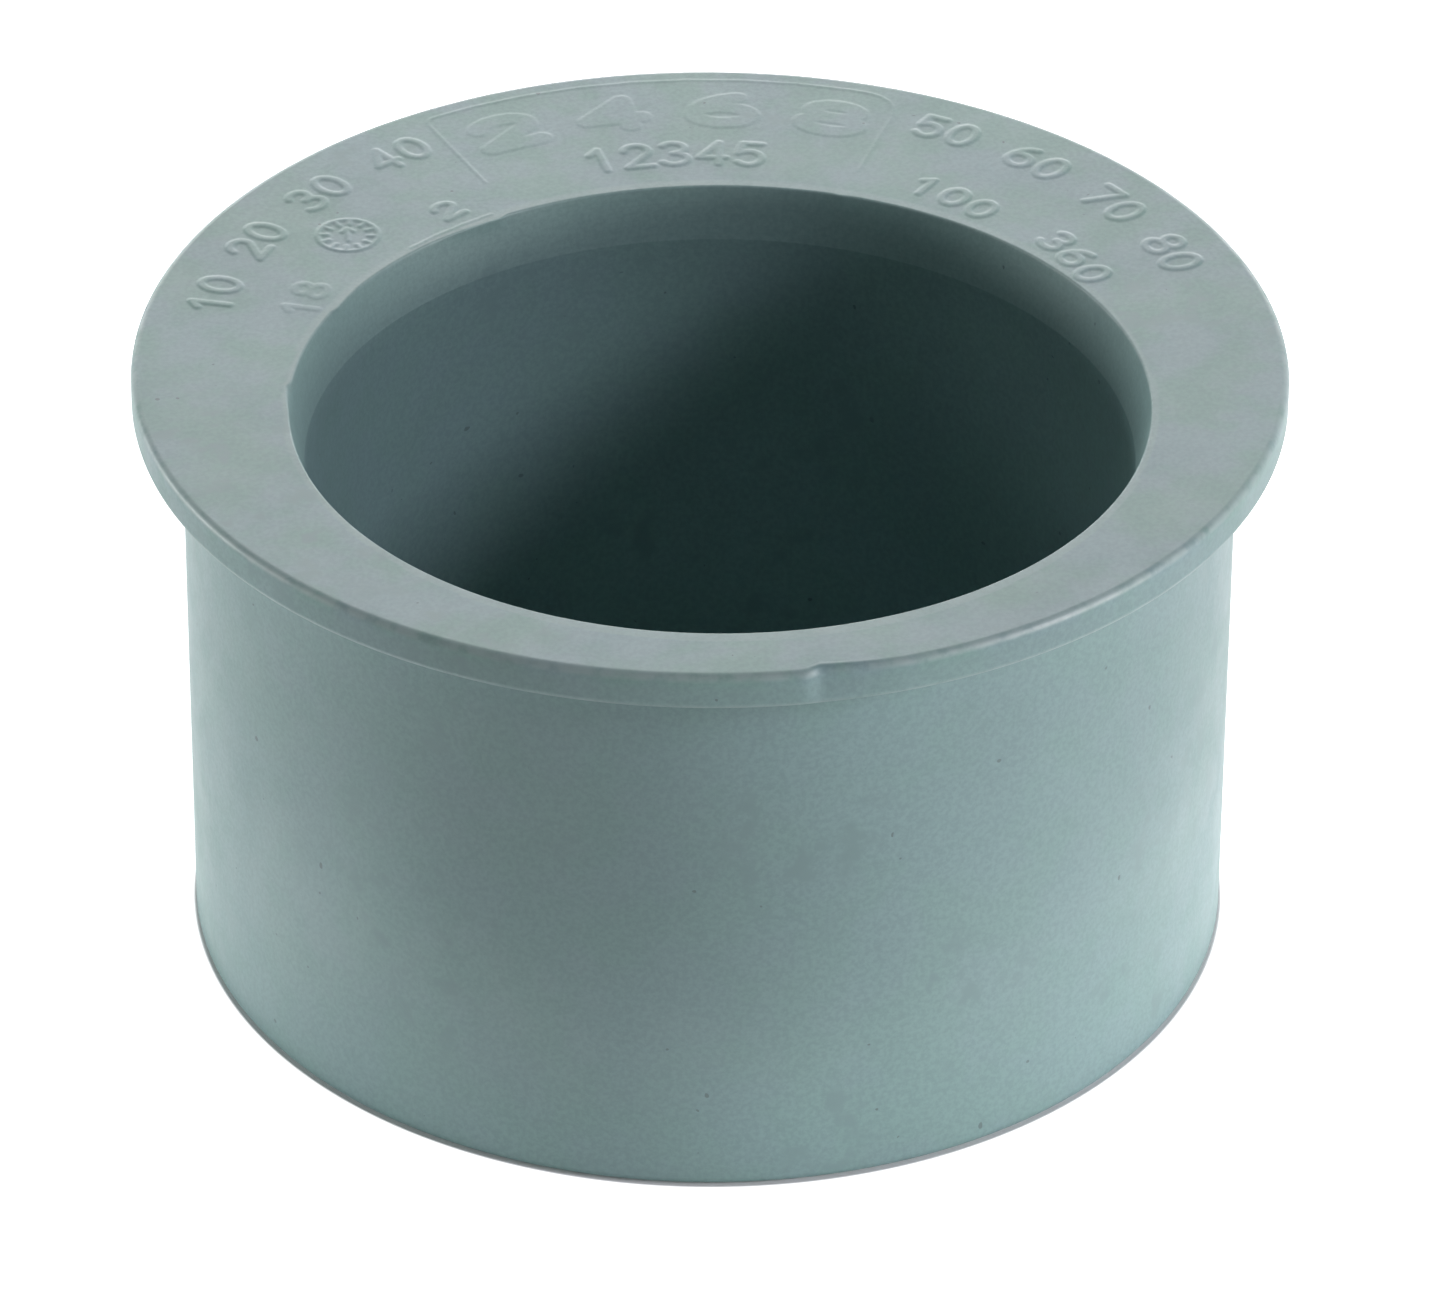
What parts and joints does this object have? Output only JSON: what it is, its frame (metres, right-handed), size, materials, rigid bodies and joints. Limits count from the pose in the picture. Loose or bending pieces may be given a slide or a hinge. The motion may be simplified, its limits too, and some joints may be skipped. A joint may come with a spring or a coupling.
{
  "type": "eccentric reducer bush",
  "caption": "Eccentric reducer bush for solvent-weld waste pipe: a flanged spigot that glues into the larger size, with an offset socket for the smaller pipe.",
  "frame": {"origin": "centre of the spigot's open end, on the surface that the fitting stands on", "axes": "+Z along the spigot's axis towards the flange, -Y towards the side where the socket lies nearest the spigot's wall, +X to the right of that side"},
  "size_m": [0.061, 0.061, 0.0336],
  "materials": {
    "abs_grey": "satin moulded ABS"
  },
  "bodies": {
    "root": {"reducer_body": "abs_grey"}
  },
  "joints": []
}
